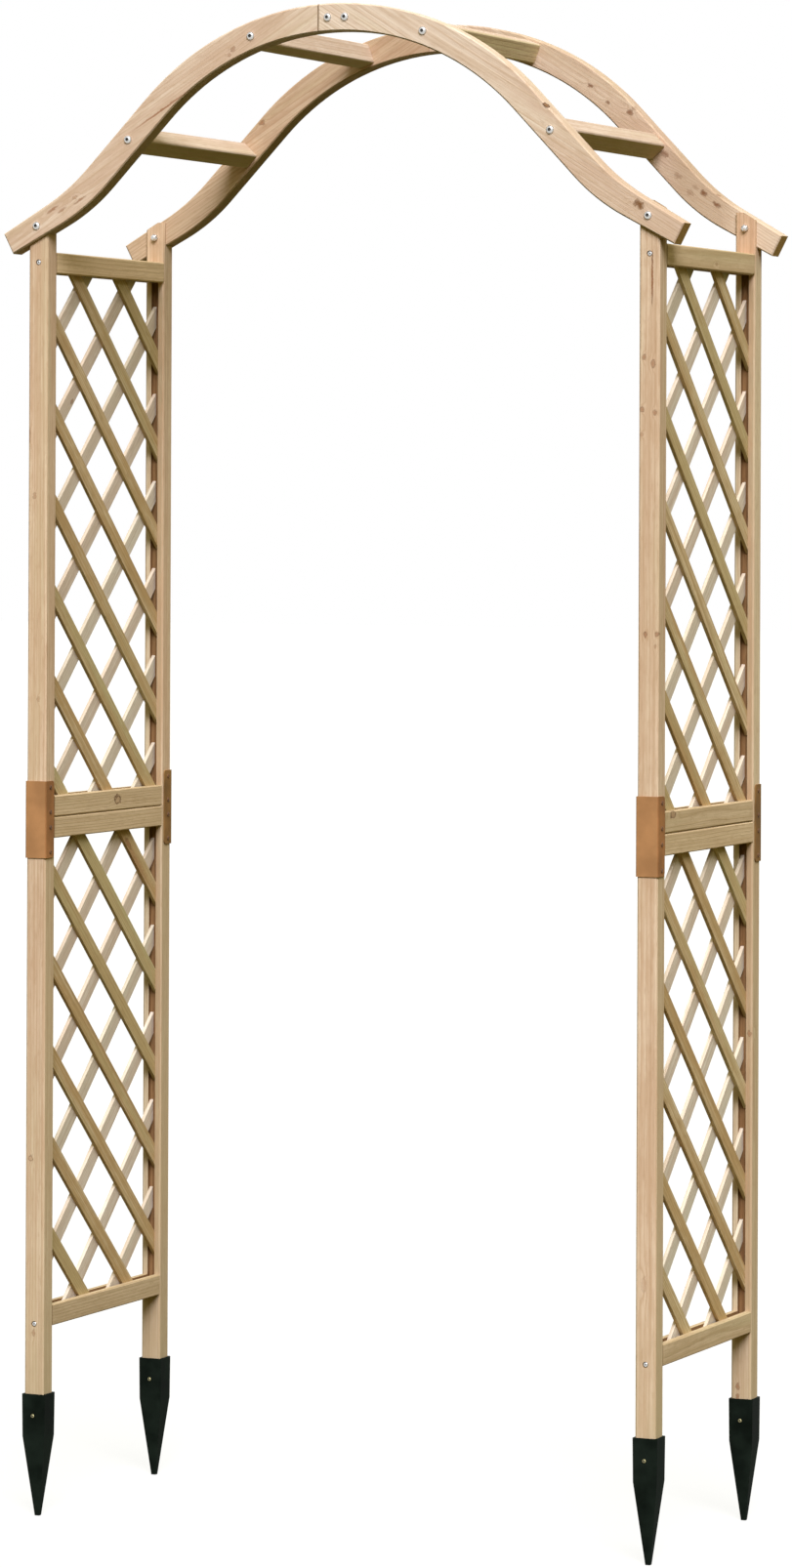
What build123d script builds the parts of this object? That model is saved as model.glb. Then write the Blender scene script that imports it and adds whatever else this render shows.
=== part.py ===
from build123d import *
import os
from math import asin, cos, degrees, radians, sin, sqrt, tan

# Posts and rails: one square stock, edges eased
post = 32.0
post_ease = 2.4
rail_ease = 1.6
outer_width = 1034.0
outer_depth = 444.0

# Heights, from the spike tips up
spike_length = 188.0
leg_gap = 102.0
lower_panel = 782.0
upper_panel = 868.0
rail_gap = 1.0

# Groove that houses the slat ends, and the stub tongues of the rails
groove_width = 12.0
groove_depth = 8.0
tongue_play = 0.3

# Diagonal slats, in two layers
slat_width = 25.0
slat_thick = 5.85
slat_angle = 42.0
slat_pitch = 139.5
slat_housed = 7.0
first_row_upper = 23.0
first_row_lower = 4.5
shortest_slat = 20.0

# Arch beams: round crown, straight slopes, flared ends
beam_thick = 32.0
crown_rise = 366.5
crown_radius = 436.0
crown_width = 42.0
slope_angle = 46.5
flare_radius_top = 330.0
flare_radius_bottom = 300.0
end_top_x = 557.5
end_top_rise = 28.0
end_top_angle = 30.5
end_bottom_x = 541.5
end_bottom_rise = -3.0
end_bottom_angle = 28.0
beam_ease = 2.0
post_tongue = 7.0
lap_half = 29.0
lap_gap = 0.8

# Cross-bars between the beams
bar_across = 32.0
bar_along = 28.0
bar_ease = 2.0
low_bar_x = 346.0
high_bar_x = 141.0

# Splice brackets of folded sheet
bracket_height = 118.0
bracket_thick = 1.6
bracket_play = 0.2
bracket_flange = 26.0
bracket_drop = 3.0
bracket_corner = 6.0
bracket_bend = 2.4
bracket_rows = (-0.42, -0.1, 0.1, 0.42)

# Ground spikes
spike_rim = 38.6
spike_waist = 37.4
spike_waist_drop = 65.0
spike_tip = 8.0
spike_ease = 2.0
spike_tip_ease = 1.0
socket_play = 0.3
socket_depth = 58.0
spike_screw_drop = 33.0

# Fasteners, with few sides because there are so many: heads, then shanks and their holes
head_sides = 8
shank_sides = 6
head_taper = 30.0
bolt_shank = 6.0
bolt_head = 12.5
bolt_head_height = 4.0
bolt_socket = 2.3
bolt_socket_depth = 2.2
bolt_bite = 45.0
lap_bolt_x = 14.0
nut_flats_radius = 5.8
nut_height = 5.0
nut_cap_radius = 4.8
nut_cap_height = 4.0
hole_play = 0.2
rail_screw_shank = 4.5
rail_screw_head = 8.6
rail_screw_head_height = 3.0
rail_screw_sunk = 3.4
rail_screw_length = 62.0
lowest_screw_rise = 5.5
sheet_screw_shank = 3.8
sheet_screw_head = 7.0
sheet_screw_head_height = 1.8
sheet_screw_length = 12.0

# Levels and planes worked out from the sizes above
z_bottom_rail = spike_length + leg_gap
z_joint = z_bottom_rail + lower_panel
z_top = z_joint + upper_panel
z_foot = spike_length - socket_depth
x_post = (outer_width - post) / 2
y_post = -(outer_depth - post) / 2
y_face = -outer_depth / 2
y_inner = y_face + post
y_tongue = y_inner - post_tongue
y_beam = y_tongue - beam_thick
half_gap = -y_inner
crown_z = z_top + crown_rise - crown_radius
bracket_z = z_joint - bracket_drop
bracket_outside = post / 2 + bracket_play + bracket_thick

corners = {
    "front_right": (1, -1),
    "front_left": (-1, -1),
    "rear_right": (1, 1),
    "rear_left": (-1, 1),
}
nodes = {}


# A shape made at the front right corner, mirrored to another corner
def to_corner(shape, x_sign, y_sign):
    if x_sign < 0:
        shape = mirror(shape, about=Plane.YZ)
    if y_sign > 0:
        shape = mirror(shape, about=Plane.XZ)
    return shape


# The same without turning its front to the rear
def to_corner_unturned(shape, x_sign, y_sign):
    return Pos(0, -(y_sign + 1) * y_post, 0) * to_corner(shape, x_sign, -1)


# A rod on z = 0, or under it where the length is negative
def rod(radius, length, sides, taper=0):
    return extrude(RegularPolygon(radius, sides), length, taper=taper)


# A hole along Y for a shank or a head, starting at y and running towards the rear
def hole_y(x, y, z, diameter, length, sides=shank_sides):
    return Pos(x, y, z) * Rot(-90, 0, 0) * rod(diameter / 2 + hole_play, length, sides)


# A fastener with its head on z = 0 and a shank that hangs below it
def headed_fastener(head, height, shank, length):
    return rod(head / 2, height, head_sides, head_taper) + rod(shank / 2, -length, shank_sides)


def socket_bolt(length):
    bolt = headed_fastener(bolt_head, bolt_head_height, bolt_shank, length)
    floor = bolt_head_height - bolt_socket_depth
    return bolt - Pos(0, 0, floor) * extrude(RegularPolygon(bolt_socket, 6), bolt_socket_depth)


def capped_nut():
    base = extrude(RegularPolygon(nut_flats_radius, 6), nut_height)
    return base + Pos(0, 0, nut_height) * rod(nut_cap_radius, nut_cap_height, head_sides, head_taper)


# Points of one long edge of a beam: end of the crown arc, crossing of its two slopes, tip
def beam_edge(radius, tip_x, tip_z, tip_angle):
    a = radians(slope_angle)
    start = (radius * sin(a), crown_z + radius * cos(a))
    drop = start[1] + tan(a) * start[0] - tip_z - tan(radians(tip_angle)) * tip_x
    bend_x = drop / (tan(a) - tan(radians(tip_angle)))
    bend = (bend_x, tip_z + tan(radians(tip_angle)) * (tip_x - bend_x))
    return start, bend, (tip_x, tip_z)


def flip(points):
    return [(-x, z) for x, z in points]


def edge_curves(points, radius, flare):
    crown = CenterArc((0, crown_z), radius, 90 - slope_angle, 2 * slope_angle)
    right = FilletPolyline(*points, radius=flare)
    left = FilletPolyline(*flip(points), radius=flare)
    return [crown, right, left]


top_edge = beam_edge(crown_radius, end_top_x, z_top + end_top_rise, end_top_angle)
bottom_edge = beam_edge(crown_radius - crown_width, end_bottom_x, z_top + end_bottom_rise, end_bottom_angle)


# Height of the middle of the beam over the post, where both edges are straight
def beam_mid_at_post():
    over = top_edge[2][1] + tan(radians(end_top_angle)) * (end_top_x - x_post)
    under = bottom_edge[2][1] + tan(radians(end_bottom_angle)) * (end_bottom_x - x_post)
    return (over + under) / 2


# Place and tilt of a cross-bar on the beam's middle line, on the crown or on the slope below it
def bar_place(x):
    radius = crown_radius - crown_width / 2
    tilt = min(degrees(asin(x / radius)), slope_angle)
    a = radians(tilt)
    return x, crown_z + radius * cos(a) - (x - radius * sin(a)) * tan(a), tilt


bar_places = {"low": bar_place(low_bar_x), "high": bar_place(high_bar_x)}
beam_bolt_z = beam_mid_at_post()
lap_z = crown_z + crown_radius - crown_width / 2


# Front beam, whole, with its bolt holes
def beam_blank():
    curves = edge_curves(top_edge, crown_radius, flare_radius_top)
    curves += edge_curves(bottom_edge, crown_radius - crown_width, flare_radius_bottom)
    curves.append(Line(top_edge[2], bottom_edge[2]))
    curves.append(Line(*flip([top_edge[2], bottom_edge[2]])))
    beam = Pos(0, y_tongue, 0) * extrude(Plane.XZ * make_face(curves), beam_thick)
    beam = chamfer(beam.faces().filter_by(Axis.Y).edges(), beam_ease)
    places = [(x_post, beam_bolt_z), (lap_bolt_x, lap_z)]
    places += [(x, z) for x, z, tilt in bar_places.values()]
    for x, z in places + flip(places):
        beam -= hole_y(x, y_beam, z, bolt_shank, beam_thick)
    return beam


# Each half keeps one cheek of the lap: the right half the front cheek, the left half the rear one
def beam_halves():
    blank = beam_blank()
    tall = 2 * crown_radius
    wide = 2 * end_top_x
    y_lap = y_beam + beam_thick / 2
    full = Box(wide, beam_thick, tall, align=(Align.MAX, Align.MIN, Align.CENTER))
    cheek = Box(2 * lap_half + lap_gap, beam_thick / 2, tall, align=(Align.CENTER, Align.MIN, Align.CENTER))
    left_of_lap = Pos(-lap_half, y_beam, z_top) * full
    right_of_lap = Pos(lap_half + wide, y_beam, z_top) * full
    right = blank - left_of_lap - Pos(0, y_lap, z_top) * cheek
    left = blank - right_of_lap - Pos(0, y_beam, z_top) * cheek
    left -= Pos(-lap_half - lap_gap / 2, y_beam, z_top) * Box(lap_gap, beam_thick, tall)
    return left, right


# Everything above a sloping line in the XZ plane, between two depths
def above_line(tip, angle, y_low, y_high):
    block = Box(8 * post, y_high - y_low, 4 * post, align=(Align.CENTER, Align.MIN, Align.MIN))
    return Pos(tip[0], y_low, tip[1]) * Rot(0, angle, 0) * block


# Section of planed stock with its corners taken off
def eased_section(width, depth, ease):
    return chamfer(Rectangle(width, depth).vertices(), ease)


def post_stock(z_low, z_high):
    return extrude(Pos(x_post, y_post, z_low) * eased_section(post, post, post_ease), z_high - z_low)


def post_groove(z_low, z_high):
    block = Box(groove_width, groove_depth, z_high - z_low, align=(Align.CENTER, Align.MAX, Align.MIN))
    return Pos(x_post, y_inner, z_low) * block


# Hole for a rail screw, with a wider mouth for its sunk head
def rail_screw_hole(z):
    mouth = hole_y(x_post, y_face, z, rail_screw_head, rail_screw_sunk, head_sides)
    return mouth + hole_y(x_post, y_face, z, rail_screw_shank, rail_screw_length)


# Bracket screws go in from both sides of the post: side, y and z of each
def bracket_screw_places():
    y = y_face + bracket_flange / 2
    return [(side, y, bracket_z + row * bracket_height) for side in (-1, 1) for row in bracket_rows]


def bracket_screw_holes():
    drill = rod(sheet_screw_shank / 2 + hole_play, post, shank_sides)
    end = bracket_outside - sheet_screw_length - hole_play
    return [Pos(x_post + side * end, y, z) * Rot(0, side * 90, 0) * drill
            for side, y, z in bracket_screw_places()]


rail_levels = {
    "bottom": z_bottom_rail,
    "mid_lower": z_joint - rail_gap / 2 - post,
    "mid_upper": z_joint + rail_gap / 2,
    "top": z_top - post,
}


# The screw of the bottom rail sits low in it, the others in the middle
def rail_screw_z(name):
    return rail_levels[name] + (lowest_screw_rise if name == "bottom" else post / 2)


def upper_post():
    shape = post_stock(z_joint, z_top + 2 * post)
    shape -= above_line(top_edge[2], end_top_angle, y_face, y_inner)
    shape -= above_line(bottom_edge[2], end_bottom_angle, y_face, y_tongue)
    shape -= post_groove(z_joint, z_top)
    shape -= hole_y(x_post, y_tongue, beam_bolt_z, bolt_shank, post_tongue)
    shape -= rail_screw_hole(rail_screw_z("top")) + rail_screw_hole(rail_screw_z("mid_upper"))
    return shape - bracket_screw_holes()


def lower_post():
    shape = post_stock(z_foot, z_joint)
    shape -= post_groove(z_bottom_rail, z_joint)
    shape -= rail_screw_hole(rail_screw_z("bottom")) + rail_screw_hole(rail_screw_z("mid_lower"))
    shape -= hole_y(x_post, y_face, spike_length - spike_screw_drop, sheet_screw_shank, post)
    return shape - bracket_screw_holes()


# A rail along Y on the right side, grooved on the face that looks into its panel
def rail(name):
    z_low = rail_levels[name]
    profile = Plane.XZ * (Pos(x_post, z_low + post / 2) * eased_section(post, post, rail_ease))
    shape = extrude(profile, half_gap, both=True)
    stub_length = 2 * (half_gap + groove_depth - tongue_play)
    shape += Pos(x_post, 0, z_low + post / 2) * Box(groove_width - tongue_play, stub_length, post)
    open_up = name in ("bottom", "mid_upper")
    groove_z = z_low + post if open_up else z_low
    align_z = Align.MAX if open_up else Align.MIN
    block = Box(groove_width, 2 * stub_length, groove_depth, align=(Align.CENTER, Align.CENTER, align_z))
    shape -= Pos(x_post, 0, groove_z) * block
    drill = hole_y(x_post, y_face, rail_screw_z(name), rail_screw_shank, rail_screw_length)
    return shape - drill - mirror(drill, about=Plane.XZ)


# One layer of a panel: parallel slats cut off inside the grooves of the frame round them
def slat_layer(x_side, z_low, z_high, first_row, rising):
    centre = Vector(x_side * x_post, 0, (z_low + z_high) / 2)
    tall = z_high - z_low + 2 * slat_housed
    deep = 2 * (half_gap + slat_housed)
    frame = Pos(centre) * Box(groove_width, deep, tall)
    x_layer = centre.X + (-slat_thick / 2 if rising else slat_thick / 2)
    long_slat = Box(slat_thick, 2 * deep, slat_width)
    turn = slat_angle if rising else -slat_angle
    slats = []
    steps = int(tall / slat_pitch) + 4
    for step in range(-2, steps):
        z = z_high - first_row + slat_pitch / 2 - step * slat_pitch
        slat = Pos(x_layer, 0, z) * Rot(turn, 0, 0) * long_slat & frame
        if slat and slat.volume > shortest_slat * slat_width * slat_thick:
            slats += slat.solids()
    return Compound(children=slats)


def bracket():
    inside = post + 2 * bracket_play
    deep = bracket_flange + bracket_thick + bracket_play
    z_low = bracket_z - bracket_height / 2
    y_back = y_face - bracket_play - bracket_thick
    sheet = Box(2 * bracket_outside, deep, bracket_height, align=(Align.CENTER, Align.MIN, Align.MIN))
    shape = Pos(x_post, y_back, z_low) * sheet
    shape = fillet(shape.edges().filter_by(Axis.Z).group_by(Axis.Y)[0], bracket_bend)
    shape = fillet(shape.edges().filter_by(Axis.X).group_by(Axis.Y)[-1], bracket_corner)
    hollow = Box(inside, deep, 2 * bracket_height, align=(Align.CENTER, Align.MIN, Align.CENTER))
    shape -= Pos(x_post, y_face - bracket_play, bracket_z) * hollow
    return shape - bracket_screw_holes()


# A square spike with the given widths at its tip, waist and rim: two side views crossed
def square_spike(tip, waist, rim):
    half = [(tip / 2, 0), (waist / 2, spike_length - spike_waist_drop), (rim / 2, spike_length)]
    side = make_face(Polyline(*half, *reversed(flip(half)), close=True))
    return extrude(Plane.XZ * side, rim, both=True) & extrude(Plane.YZ * side, rim, both=True)


# A second spike, turned by 45 degrees, takes off the corners of the first
def ground_spike():
    widths = [(spike_tip, spike_tip_ease), (spike_waist, spike_ease), (spike_rim, spike_ease)]
    square = square_spike(*[width for width, ease in widths])
    turned = square_spike(*[sqrt(2) * (width - ease) for width, ease in widths])
    shape = Pos(x_post, y_post, 0) * (square & Rot(0, 0, 45) * turned)
    wide = post + 2 * socket_play
    socket = Box(wide, wide, 2 * socket_depth, align=(Align.CENTER, Align.CENTER, Align.MIN))
    shape -= Pos(x_post, y_post, z_foot) * socket
    y_out = y_post - spike_rim / 2
    return shape - hole_y(x_post, y_out, spike_length - spike_screw_drop, sheet_screw_shank, post / 2)


# Fasteners at the front right corner
def bolt_at(x, y, z, length):
    return Pos(x, y, z) * Rot(90, 0, 0) * socket_bolt(length)


def nut_at(x, y, z):
    return Pos(x, y, z) * Rot(-90, 0, 0) * capped_nut()


def rail_screw(z):
    length = rail_screw_length - rail_screw_sunk - 1
    screw = headed_fastener(rail_screw_head, rail_screw_head_height, rail_screw_shank, length)
    return Pos(x_post, y_face + rail_screw_sunk, z) * Rot(90, 0, 0) * screw


def sheet_screw():
    return headed_fastener(sheet_screw_head, sheet_screw_head_height, sheet_screw_shank, sheet_screw_length)


def bracket_screw(side, y, z):
    return Pos(x_post + side * bracket_outside, y, z) * Rot(0, side * 90, 0) * sheet_screw()


# The wall of the spike leans in, so the upper side of the screw's head is what meets it
def spike_screw():
    drop = spike_screw_drop - sheet_screw_head / 2
    lean = (spike_rim - spike_waist) / 2 * drop / spike_waist_drop
    y = y_post - spike_rim / 2 + lean
    return Pos(x_post, y, spike_length - spike_screw_drop) * Rot(90, 0, 0) * sheet_screw()


def at_corners(shapes):
    return Compound(children=[to_corner(shape, *signs) for signs in corners.values() for shape in shapes])


# Both beams have rotational symmetry about Z, so the rear halves are the front ones turned round
front_left_beam, front_right_beam = beam_halves()
nodes["beam_front_left"] = front_left_beam
nodes["beam_front_right"] = front_right_beam
nodes["beam_rear_right"] = Rot(0, 0, 180) * front_left_beam
nodes["beam_rear_left"] = Rot(0, 0, 180) * front_right_beam

corner_pieces = {
    "post_upper": upper_post(),
    "post_lower": lower_post(),
    "splice_bracket": bracket(),
}
for piece, shape in corner_pieces.items():
    for corner, signs in corners.items():
        nodes[f"{piece}_{corner}"] = to_corner(shape, *signs)

# The screws of all four spikes face the front
for corner, signs in corners.items():
    nodes[f"ground_spike_{corner}"] = to_corner_unturned(ground_spike(), *signs)
front_screws = [to_corner_unturned(spike_screw(), *signs) for signs in corners.values()]
nodes["spike_screws"] = Compound(children=front_screws)

for name in rail_levels:
    nodes[f"rail_right_{name}"] = rail(name)
    nodes[f"rail_left_{name}"] = mirror(rail(name), about=Plane.YZ)

panels = {
    "upper": (rail_levels["mid_upper"] + post, rail_levels["top"], first_row_upper),
    "lower": (rail_levels["bottom"] + post, rail_levels["mid_lower"], first_row_lower),
}
for panel, (z_low, z_high, first_row) in panels.items():
    for side, x_sign in (("left", -1), ("right", 1)):
        nodes[f"slats_{side}_{panel}_rising"] = slat_layer(x_sign, z_low, z_high, first_row, True)
        nodes[f"slats_{side}_{panel}_falling"] = slat_layer(x_sign, z_low, z_high, first_row, False)

for level, (x, z, tilt) in bar_places.items():
    profile = Plane.XZ * (Pos(x, z) * Rot(0, 0, -tilt) * eased_section(bar_along, bar_across, bar_ease))
    bar = extrude(profile, -y_tongue, both=True)
    drill = hole_y(x, y_tongue, z, bolt_shank, bolt_bite + 1)
    bar -= drill + mirror(drill, about=Plane.XZ)
    nodes[f"crossbar_right_{level}"] = bar
    nodes[f"crossbar_left_{level}"] = mirror(bar, about=Plane.YZ)

lap_bolt = bolt_at(lap_bolt_x, y_beam, lap_z, beam_thick)
lap_nut = nut_at(lap_bolt_x, y_tongue, lap_z)
post_bolt = bolt_at(x_post, y_beam, beam_bolt_z, beam_thick + post_tongue)
bar_bolts = [bolt_at(x, y_beam, z, beam_thick + bolt_bite) for x, z, tilt in bar_places.values()]
nodes["post_bolts"] = at_corners([post_bolt])
nodes["post_nuts"] = at_corners([nut_at(x_post, y_inner, beam_bolt_z)])
nodes["lap_bolts"] = at_corners([lap_bolt])
nodes["lap_nuts"] = at_corners([lap_nut])
nodes["crossbar_bolts"] = at_corners(bar_bolts)
nodes["rail_screws"] = at_corners([rail_screw(rail_screw_z(name)) for name in rail_levels])
nodes["bracket_screws"] = at_corners([bracket_screw(*place) for place in bracket_screw_places()])

os.makedirs("parts", exist_ok=True)
for name, shape in nodes.items():
    export_step(shape, f"parts/{name}.step")
print(len(nodes), "nodes")
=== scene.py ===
import math
import random

import bmesh
import bpy
from mathutils import Euler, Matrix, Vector


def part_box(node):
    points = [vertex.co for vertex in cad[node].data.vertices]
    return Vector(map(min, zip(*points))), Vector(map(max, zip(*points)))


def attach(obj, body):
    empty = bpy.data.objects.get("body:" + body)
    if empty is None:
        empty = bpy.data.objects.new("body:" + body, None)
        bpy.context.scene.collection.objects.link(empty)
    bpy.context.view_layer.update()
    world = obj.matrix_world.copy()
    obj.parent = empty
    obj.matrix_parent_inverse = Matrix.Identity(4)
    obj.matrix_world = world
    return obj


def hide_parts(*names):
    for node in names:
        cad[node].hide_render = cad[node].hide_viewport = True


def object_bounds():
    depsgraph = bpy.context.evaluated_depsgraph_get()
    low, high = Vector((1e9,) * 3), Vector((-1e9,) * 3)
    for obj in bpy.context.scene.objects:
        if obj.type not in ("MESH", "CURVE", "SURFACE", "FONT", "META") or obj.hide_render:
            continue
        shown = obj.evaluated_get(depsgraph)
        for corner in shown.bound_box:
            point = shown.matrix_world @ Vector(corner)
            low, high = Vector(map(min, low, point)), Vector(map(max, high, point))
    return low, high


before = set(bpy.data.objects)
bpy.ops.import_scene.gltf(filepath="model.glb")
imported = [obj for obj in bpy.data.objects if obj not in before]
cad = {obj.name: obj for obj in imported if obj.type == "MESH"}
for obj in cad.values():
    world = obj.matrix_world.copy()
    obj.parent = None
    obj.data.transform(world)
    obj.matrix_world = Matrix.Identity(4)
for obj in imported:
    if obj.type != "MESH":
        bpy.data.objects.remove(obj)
cadLow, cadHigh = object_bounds()
scene = bpy.context.scene
corners = ("front_left", "front_right", "rear_left", "rear_right")
print("frame loaded,", len(cad), "nodes")


# node tree shorthands
def addNode(tree, kind, inputs=None, **settings):
    made = tree.nodes.new("ShaderNode" + kind)
    for key, value in settings.items():
        setattr(made, key, value)
    for key, value in (inputs or {}).items():
        if isinstance(value, bpy.types.NodeSocket):
            tree.links.new(value, made.inputs[key])
        else:
            made.inputs[key].default_value = value
    return made


def sums(tree, operation, a, b=0.0):
    return addNode(tree, "Math", {0: a, 1: b}, operation=operation).outputs[0]


def vecs(tree, operation, a, b=(0, 0, 0)):
    return addNode(tree, "VectorMath", {0: a, 1: b}, operation=operation).outputs[0]


def lengthOf(tree, vector):
    return addNode(tree, "VectorMath", {0: vector}, operation="LENGTH").outputs["Value"]


def axisOf(tree, vector, axis):
    return addNode(tree, "SeparateXYZ", {0: vector}).outputs[axis]


def ranged(tree, value, low, high, toLow=0.0, toHigh=1.0):
    inputs = {0: value, 1: low, 2: high, 3: toLow, 4: toHigh}
    return addNode(tree, "MapRange", inputs, interpolation_type="SMOOTHSTEP").outputs[0]


def mixed(tree, share, a, b):
    return addNode(tree, "Mix", {0: share, 6: a, 7: b}, data_type="RGBA").outputs[2]


middleGrey = (0.5, 0.5, 0.5)     # what the colours of noise swing round


def noise(tree, vector, scales, detail=2.0, rough=0.5):
    stretched = vecs(tree, "MULTIPLY", vector, scales)
    inputs = {"Vector": stretched, "Scale": 1.0, "Detail": detail, "Roughness": rough}
    return addNode(tree, "TexNoise", inputs)


def rgba(colour):
    return (*colour, 1.0)


def newFinish(name):
    finish = bpy.data.materials.new(name)
    finish.use_nodes = True
    tree = finish.node_tree
    tree.nodes.clear()
    skin = addNode(tree, "BsdfPrincipled")
    addNode(tree, "OutputMaterial", {"Surface": skin.outputs[0]})
    return finish, tree, skin


def addRelief(tree, skin, height, share, depth):
    bump = addNode(tree, "Bump", {"Height": height, "Strength": share, "Distance": depth})
    tree.links.new(bump.outputs[0], skin.inputs["Normal"])


# softwood as a solid: rings round a heart line beside the board, fibres and knots along the grain
woodLook = {
    "ringGap": 0.0046, "ringWaver": 0.008, "ringShare": 0.50,   # metres, metres, share of late colour
    "yearScale": 90, "lateWood": ((0.5, 0.12), (0.86, 1.0)),    # uneven years; when one darkens, how far
    "heartNear": 0.025, "heartFar": 0.070,                      # how close the heart line comes
    "timberHalf": 9.0,                                          # metres either way along the timber
    "streakShare": 0.52, "cloudShare": 0.42, "mottleShare": 0.30, "greenShare": 0.48, "plainTint": 0.1,
    "boardShare": 0.40, "boardGreen": 0.50,                     # how far the slats of a layer differ
    "greenLuck": (0.3, 0.9), "boardJump": (7.0, 0.05, 0.0),
    "fibreShare": 0.36, "fibreDark": (0.62, 0.36), "dashShare": 0.35, "poreShare": 0.25,
    "footFrom": 0.46, "footTo": 0.17,                           # heights where damp has greyed the legs
    "footShare": 0.45, "footEven": 0.4,
    "endTurn": (0.80, 0.96), "endShare": 0.8,                   # how squarely a face cuts across the grain
    "bumpDepth": 0.0006, "bumpShare": 0.4, "ringHeight": 0.5, "poreDepth": 0.4,
    "fibreLevels": (0.3, 0.7), "roughness": (0.62, 0.80), "gloss": 0.02,
}

# noise in the wood: scale along the grain, scale across it, detail, roughness
woodNoise = {
    "waver": (2.6, 16, 2.0, 0.5), "fibre": (10, 620, 4.0, 0.6), "dash": (50, 260, 2.0, 0.5),
    "pore": (34, 1500, 2.0, 0.5), "streak": (1.6, 130, 3.0, 0.55), "cloud": (4.0, 22, 3.0, 0.5),
    "mottle": (26, 75, 3.0, 0.6), "mould": (1.7, 34, 3.0, 0.5),
}

# levels of that noise between which a mark sets in
woodLevels = {
    "dash": (0.54, 0.72), "pore": (0.60, 0.72), "streak": (0.36, 0.64), "cloud": (0.34, 0.66),
    "mottle": (0.36, 0.66), "mould": (0.50, 0.72),
}

# a knot, in its own radii apart from the noise of its outline
knotLook = {
    "outlineScale": 210, "outlineDetail": 4.0, "outlineRough": 0.6, "ragged": 2.2,
    "depth": 3.5,                      # how far it goes into the board
    "core": 0.25, "edge": 1.25,        # full colour in the core, none past the edge
    "rim": 0.8, "rimWidth": 0.28,      # the bark
    "reach": 3.0, "push": 1.6,         # how far out the rings part, and how much
}

postTones = {
    "pale": (0.81, 0.655, 0.485), "warm": (0.62, 0.44, 0.295), "late": (0.50, 0.32, 0.19),
    "green": (0.63, 0.54, 0.34), "pore": (0.30, 0.17, 0.09), "knot": (0.32, 0.14, 0.065),
    "bark": (0.10, 0.042, 0.02), "end": (0.20, 0.12, 0.05), "foot": (0.50, 0.41, 0.25),
}
railTones = {
    **postTones, "pale": (0.78, 0.61, 0.405), "warm": (0.62, 0.465, 0.29), "late": (0.47, 0.335, 0.175),
    "green": (0.60, 0.515, 0.30),
}
beamTones = {
    **postTones, "pale": (0.86, 0.718, 0.575), "warm": (0.675, 0.495, 0.37), "late": (0.56, 0.39, 0.25),
    "green": (0.71, 0.61, 0.41), "end": (0.54, 0.325, 0.095),
}
rearRightTones = {
    **beamTones, "pale": (0.785, 0.64, 0.50), "warm": (0.61, 0.435, 0.325), "late": (0.50, 0.335, 0.215),
    "green": (0.64, 0.535, 0.36), "knot": (0.22, 0.10, 0.048),
}
rearLeftTones = {
    **beamTones, "pale": (0.67, 0.515, 0.36), "warm": (0.52, 0.35, 0.235), "late": (0.43, 0.27, 0.155),
    "green": (0.54, 0.43, 0.255),
}
fallingTones = {
    **postTones, "pale": (0.79, 0.66, 0.43), "warm": (0.55, 0.375, 0.18), "late": (0.37, 0.24, 0.11),
    "green": (0.57, 0.51, 0.27),
}
risingTones = {
    **postTones, "pale": (0.87, 0.80, 0.70), "warm": (0.70, 0.575, 0.46), "late": (0.56, 0.44, 0.33),
    "green": (0.68, 0.64, 0.515),
}
grooveStainAndShadeTones = {
    **postTones, "pale": (0.37, 0.22, 0.105), "warm": (0.27, 0.145, 0.062), "late": (0.17, 0.085, 0.037),
    "green": (0.27, 0.18, 0.085),
}


def toned(tones, share):
    return {part: tuple(c * share for c in colour) for part, colour in tones.items()}


def noiseOf(tree, along, mark):
    lengthways, across, detail, rough = woodNoise[mark]
    return noise(tree, along, (lengthways, across, across), detail, rough).outputs


def marksOf(tree, along, mark, share=1.0):
    return ranged(tree, noiseOf(tree, along, mark)[0], *woodLevels[mark], 0.0, share)


# each slat of a layer is a board of its own, with its own tint and its own stretch of grain
def splitBoards(tree, along, lineStart, gap, seed):
    across = sums(tree, "SUBTRACT", axisOf(tree, along, "Z"), lineStart)
    number = sums(tree, "FLOOR", sums(tree, "DIVIDE", across, gap))
    luck = addNode(tree, "TexWhiteNoise", {"W": sums(tree, "ADD", number, seed)}, noise_dimensions="1D")
    jump = vecs(tree, "MULTIPLY", luck.outputs["Color"], woodLook["boardJump"])
    tint = sums(tree, "MULTIPLY", luck.outputs["Value"], woodLook["boardShare"])
    greenLuck = axisOf(tree, luck.outputs["Color"], "Z")
    green = ranged(tree, greenLuck, *woodLook["greenLuck"], 0.0, woodLook["boardGreen"])
    return vecs(tree, "ADD", along, jump), tint, green


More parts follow.
